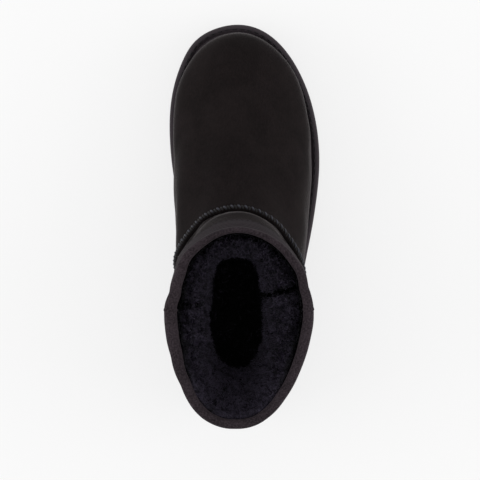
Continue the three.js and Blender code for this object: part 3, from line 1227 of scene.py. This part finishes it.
class BOOT_OT_wool(bpy.types.Operator):
    """Wool inside the upper: its backing and its locks"""

    bl_idname = "boot.wool"
    bl_label = "Wool lining"

    def execute(self, context):
        wool = settings("boot_wool")
        finish = wool_finish("black_wool", wool.colour)
        lining = Skin.get().inner.copy()
        keep_where(lining, lambda p: LINING_TOP - height(p))
        for vert in lining.verts:
            rough = lumps(vert.co, 5) * 0.8
            vert.co += vert.normal * (rough - 0.8) * MM
        lining.normal_update()
        backing = backing_finish("wool_skin", wool.colour)
        piece = finished("wool_foot_lining", lining, backing)
        thick(piece, 1.2 * MM)
        bm = self.pillow()
        rng = np.random.default_rng(wool.seed)
        places, normals = self.spots(bm, rng, wool.spacing)
        full = np.array([self.fullness(Vector(place)) for place in places])
        grown = (full > 0.5) | (rng.random(len(places)) < 0.25)
        grown &= [parting_depth(Vector(place)) < 2.4 * MM for place in places]
        spots = places[grown], normals[grown], full[grown]
        frames, side, choice, tones_and_shade = self.lay(spots, rng, wool)
        piece = finished("wool_backing", bm, backing)
        thick(piece, 0.8 * MM)
        patterns = [self.lock(rng, wool.pile) for _ in range(LOCK_KINDS)]
        for k, name in enumerate(SIDES):
            here = side == k
            mesh = repeated(name, patterns, frames[here], choice[here], tones_and_shade[here])
            finished(name, mesh, finish)
        return {"FINISHED"}

    @staticmethod
    def fullness(place):
        """1 where the wool has its full length and no painted shade, 0 at the collar and in a
        parting.
        """
        side = place - COLLAR_MIDDLE
        angle = math.atan2(-side.x, -side.y) % (2 * math.pi)
        edge, _ = shell(angle, COLLAR_TOP)
        reach = (edge - COLLAR_MIDDLE).xy.length - side.xy.length
        short = wool_edge(angle) + round_collar(SHADED_EDGE, angle)
        share = min(max((reach / MM - short) / SHORT_REACH + 1, 0), 1)
        return share * (1 - 0.9 * min(parting_depth(place) / (3.5 * MM), 1))

    @staticmethod
    def pillow():
        """The wool's backing from the collar's edge into the hole, lumpy and parted."""
        rows = []
        for angle in columns():
            edge, out = shell(angle, COLLAR_TOP)
            start = edge - out * wool_edge(angle) * MM
            toward = start - HOLE_MIDDLE
            turn = math.atan2(-toward.x, -toward.y)
            hole = hole_edge(turn)
            depth = round_collar(HOLE_DEPTH, angle) * MM
            column = []
            slope = math.sin(angle / 2) ** 6
            for stop in RING_STOPS:
                down = through(PILLOW, "across", "down", stop)
                down = depth * (down + (0.22 + 0.78 * stop - down) * slope)
                if stop == 0:
                    down = WOOL_LIP
                place = start.lerp(hole, stop)
                column.append(Vector((place.x, place.y, COLLAR_TOP - down)))
            for fall in RING_FALLS:
                out = (hole - HOLE_MIDDLE).normalized()
                spread = out * fall * 0.12 * MM
                column.append(Vector((*(hole + spread).xy, COLLAR_TOP - depth - fall * MM)))
            rows.append(column)
        bm = stacked(list(zip(*rows)))
        low = COLLAR_TOP - 70 * MM
        inwards = sum(f.normal.z for f in bm.faces if f.calc_center_median().z > low)
        if inwards < 0:
            bmesh.ops.reverse_faces(bm, faces=bm.faces)
        bm.normal_update()
        for vert in bm.verts:
            free = min(max((COLLAR_TOP - vert.co.z - 4 * MM) / (10 * MM), 0), 1)
            lump = lumps(vert.co, 9) * 1.9 + lumps(vert.co, 4) * 0.6
            vert.co += vert.normal * lump * free * MM
            vert.co.z -= parting_depth(vert.co) * free
        bm.normal_update()
        # Painted shade on the backing: darkest below DEEP_BACKING, and dark beside the collar and
        # in partings.
        tone_and_shade = bm.verts.layers.float.new("tone_and_shade")
        for vert in bm.verts:
            shallow = COLLAR_TOP - vert.co.z < DEEP_BACKING
            vert[tone_and_shade] = BOOT_OT_wool.fullness(vert.co) ** 3 if shallow else 0
        return bm

    @staticmethod
    def spots(bm, rng, spacing):
        """Roots of the locks and their normals, thinner where the backing is deep inside."""
        copy = bm.copy()
        bmesh.ops.triangulate(copy, faces=copy.faces)
        corners = np.array([[v.co for v in f.verts] for f in copy.faces])
        normals = np.array([f.normal for f in copy.faces])
        areas = np.array([f.calc_area() for f in copy.faces])
        copy.free()
        deep = COLLAR_TOP - corners[:, :, 2].mean(axis=1)
        weight = areas * np.where(deep < THROAT_DEPTH, 1, DEEP_SHARE)
        pick = rng.choice(len(areas), LOCK_TRIES, p=weight / weight.sum())
        u, v = rng.random((2, LOCK_TRIES))
        flip = u + v > 1
        u[flip], v[flip] = 1 - u[flip], 1 - v[flip]
        a, b, c = corners[pick].transpose(1, 0, 2)
        places = a + (b - a) * u[:, None] + (c - a) * v[:, None]
        grid, kept = {}, []
        cells = np.floor(places / spacing).astype(int)
        for i, place in enumerate(places):
            x, y, z = cells[i]
            near = (
                j
                for dx in (-1, 0, 1)
                for dy in (-1, 0, 1)
                for dz in (-1, 0, 1)
                for j in grid.get((x + dx, y + dy, z + dz), ())
            )
            if all(((places[j] - place) ** 2).sum() > spacing * spacing for j in near):
                grid.setdefault((x, y, z), []).append(i)
                kept.append(i)
        return places[kept], normals[pick[kept]]

    @staticmethod
    def lay(spots, rng, wool):
        """A frame for each lock: clumps lean together, and clumps part from each other."""
        places, normals, full = spots
        tree = KDTree(len(places))
        for i, place in enumerate(places):
            tree.insert(place, i)
        tree.balance()
        owner = np.full(len(places), -1)
        for i in rng.permutation(len(places)):
            if owner[i] < 0:
                for _, j, _ in tree.find_range(places[i], wool.clump * (0.4 + 0.35 * rng.random())):
                    if owner[j] < 0 or rng.random() < 0.2:
                        owner[j] = i
        clump_lean = [Vector(way) for way in rng.normal(size=(len(places), 3))]
        frames = []
        for i, (place, normal) in enumerate(zip(places, normals)):
            out = Vector(normal)
            head = Vector(places[owner[i]])
            swirl = noise.noise_vector(head / (7 * MM))
            comb = clump_lean[owner[i]] - out * clump_lean[owner[i]].dot(out)
            centre = head + out * wool.pile + swirl * 1.2 * MM
            lean = (centre - Vector(place)) / wool.pile * LEAN["clump"]
            lean += swirl * LEAN["swirl"]
            lean += comb.normalized() * LEAN["comb"]
            lean += Vector(rng.normal(size=3)) * LEAN["stray"] + parting_push(Vector(place))
            axis = (out + lean - out * lean.dot(out) * 0.6).normalized()
            turn = axis.to_track_quat("Z", "Y").to_matrix().to_4x4()
            spin = Matrix.Rotation(rng.random() * 2 * math.pi, 4, "Z")
            depth = COLLAR_TOP - place[2]
            short = 0.4 + 0.6 * min(depth / (12 * MM), 1)
            size = short * (0.7 + 0.55 * rng.random()) * (0.35 + 0.65 * full[i])
            girth = 0.75 + 0.5 * rng.random()
            scale = Matrix.Diagonal((girth, girth, size, 1))
            root = Matrix.Translation(Vector(place) - out * 0.5 * MM)
            frames.append(np.array(root @ turn @ spin @ scale))
        # Four pieces round a middle 200 mm behind the toe, in the order of SIDES
        x = places[:, 0] - AXIS_X
        y = (places[:, 1] - TOE_Y) - 200 * MM
        side = np.where(np.abs(y) * 0.8 > np.abs(x), np.where(y < 0, 0, 1), np.where(x < 0, 2, 3))
        clump_tone = rng.random(len(places))[owner]
        tones_and_shade = 0.35 * clump_tone + 0.65 * rng.random(len(places))
        # Painted shade: darker with depth, and dark beside the collar and in partings; paler
        # towards the heel
        tones_and_shade *= np.clip((66 * MM - (COLLAR_TOP - places[:, 2])) / (30 * MM), 0.2, 1)
        tones_and_shade += 0.35 * np.clip((places[:, 1] - TOE_Y - 222 * MM) / (20 * MM), 0, 1)
        tones_and_shade = tones_and_shade * full - 1.2 * (1 - full)
        return np.array(frames), side, rng.integers(0, LOCK_KINDS, len(places)), tones_and_shade

    @staticmethod
    def lock(rng, pile):
        """One curly lock, standing on the XY plane."""
        steps = 5
        turns = 0.6 + rng.random() * 0.9
        start = rng.random() * 2 * math.pi
        frames = []
        for i in range(steps + 1):
            t = i / steps
            swing = 1.1 * MM * t
            turn = start + turns * 2 * math.pi * t
            rise = pile * (t - 0.25 * t * t)
            place = Vector((math.cos(turn) * swing, math.sin(turn) * swing, rise))
            tilt = Matrix.Rotation(0.7 * t, 4, Vector((-math.sin(turn), math.cos(turn), 0)))
            girth = (1 - t) ** 0.8 * 0.7 + 0.3
            frames.append(Matrix.Translation(place) @ tilt @ Matrix.Scale(girth, 4))
        stood = Matrix.Rotation(math.pi / 2, 4, "X")
        return arrays(swept([m @ stood for m in frames], oval(0.85 * MM, 0.6 * MM, 3)))


class BOOT_OT_footbed(bpy.types.Operator):
    """Wool-topped footbed"""

    bl_idname = "boot.footbed"
    bl_label = "Footbed"

    def execute(self, context):
        wool = settings("boot_wool")
        bm = subdivided(merged_copy("insole"), 3)
        for vert in bm.verts:
            if vert.normal.z > 0.3:
                rough = lumps(vert.co, 6) * 0.9
                rough += lumps(vert.co, 2.6) * 0.5
                vert.co += vert.normal * (rough - 0.5) * MM
        piece = finished("wool_footbed", bm, wool_finish("footbed_wool", wool.colour))
        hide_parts("insole")
        return {"FINISHED"}


# Soft boxes: where they hang and their width in metres, and their share of the lamps' strength
SOFT_BOXES = table(
    "name place width share",
    ("left_box", (1.1, 0.05, 0.5), 0.9, 1.0),
    ("right_box", (-1.1, 0.05, 0.5), 0.9, 1.0),
    ("toe_box", (0.1, -1.2, 0.9), 0.9, 0.22),
)
AIM = Vector((0, 0, 0.06))
VIEW_X = 3.1 * MM  # the camera looks straight down here
VIEW_ALONG = 148.1


class BOOT_OT_stage(bpy.types.Operator):
    """Pale floor, soft light and the camera over the boot"""

    bl_idname = "boot.stage"
    bl_label = "Stage"

    def execute(self, context):
        stage = settings("boot_stage")
        scene = context.scene
        bm = bmesh.new()
        bmesh.ops.create_grid(bm, x_segments=1, y_segments=1, size=6)
        bmesh.ops.translate(bm, verts=bm.verts, vec=(0, 0, -0.05 * MM))
        mesh = bpy.data.meshes.new("floor")
        bm.to_mesh(mesh)
        bm.free()
        paint = Finish(
            "floor_paint",
            {
                "Base Color": (*stage.floor, 1),
                "Roughness": 0.9,
                "Specular IOR Level": 0.1,
                "Emission Color": (1, 1, 1, 1),
                "Emission Strength": stage.glow,
            },
        )
        mesh.materials.append(paint.material)
        floor = bpy.data.objects.new("floor", mesh)
        scene.collection.objects.link(floor)
        world = bpy.data.worlds.new("studio")
        world.use_nodes = True
        back = world.node_tree.nodes["Background"]
        back.inputs["Color"].default_value = (1, 1, 1, 1)
        back.inputs["Strength"].default_value = stage.sky
        scene.world = world
        for box in SOFT_BOXES:
            light = bpy.data.lights.new(box["name"], "AREA")
            light.energy = stage.lamps * box["share"]
            light.size = box["width"]
            lamp = bpy.data.objects.new(box["name"], light)
            lamp.location = box["place"]
            aim = AIM - Vector(box["place"])
            lamp.rotation_euler = aim.to_track_quat("-Z", "Y").to_euler()
            lamp.visible_camera = False
            scene.collection.objects.link(lamp)
        lens = bpy.data.cameras.new("camera")
        lens.lens = stage.lens
        lens.sensor_width = 36
        lens.clip_end = 100
        camera = bpy.data.objects.new("camera", lens)
        camera.location = (VIEW_X, TOE_Y + VIEW_ALONG * MM, stage.camera_height)
        camera.rotation_euler = (0, 0, math.pi)
        scene.collection.objects.link(camera)
        scene.camera = camera
        scene.view_settings.view_transform = "Standard"
        return {"FINISHED"}


class BOOT_PT_panel(bpy.types.Panel):
    """The boot's pieces and sizes"""

    bl_idname = "BOOT_PT_panel"
    bl_label = "Sheepskin ankle boot"
    bl_space_type = "VIEW_3D"
    bl_region_type = "UI"
    bl_category = "Boot"

    def draw(self, context):
        for name in SETTINGS:
            group = getattr(context.scene, name)
            box = self.layout.box()
            for key in group.__annotations__:
                box.prop(group, key)
        for operator in OPERATORS:
            self.layout.operator(operator.bl_idname)


SETTINGS = {
    "boot_upper": UpperSettings,
    "boot_thread": ThreadSettings,
    "boot_sole": SoleSettings,
    "boot_wool": WoolSettings,
    "boot_stage": StageSettings,
}
OPERATORS = (
    BOOT_OT_stage,
    BOOT_OT_outsole,
    BOOT_OT_footbed,
    BOOT_OT_suede,
    BOOT_OT_counter,
    BOOT_OT_seams,
    BOOT_OT_binding,
    BOOT_OT_wool,
)


def register():
    for cls in (*SETTINGS.values(), *OPERATORS, BOOT_PT_panel):
        bpy.utils.register_class(cls)
    for name, group in SETTINGS.items():
        setattr(bpy.types.Scene, name, PointerProperty(type=group))


def unregister():
    for name in SETTINGS:
        delattr(bpy.types.Scene, name)
    for cls in reversed((*SETTINGS.values(), *OPERATORS, BOOT_PT_panel)):
        bpy.utils.unregister_class(cls)


def main():
    register()
    for operator in OPERATORS:
        group, name = operator.bl_idname.split(".")
        getattr(getattr(bpy.ops, group), name)()


if __name__ == "__main__":
    main()
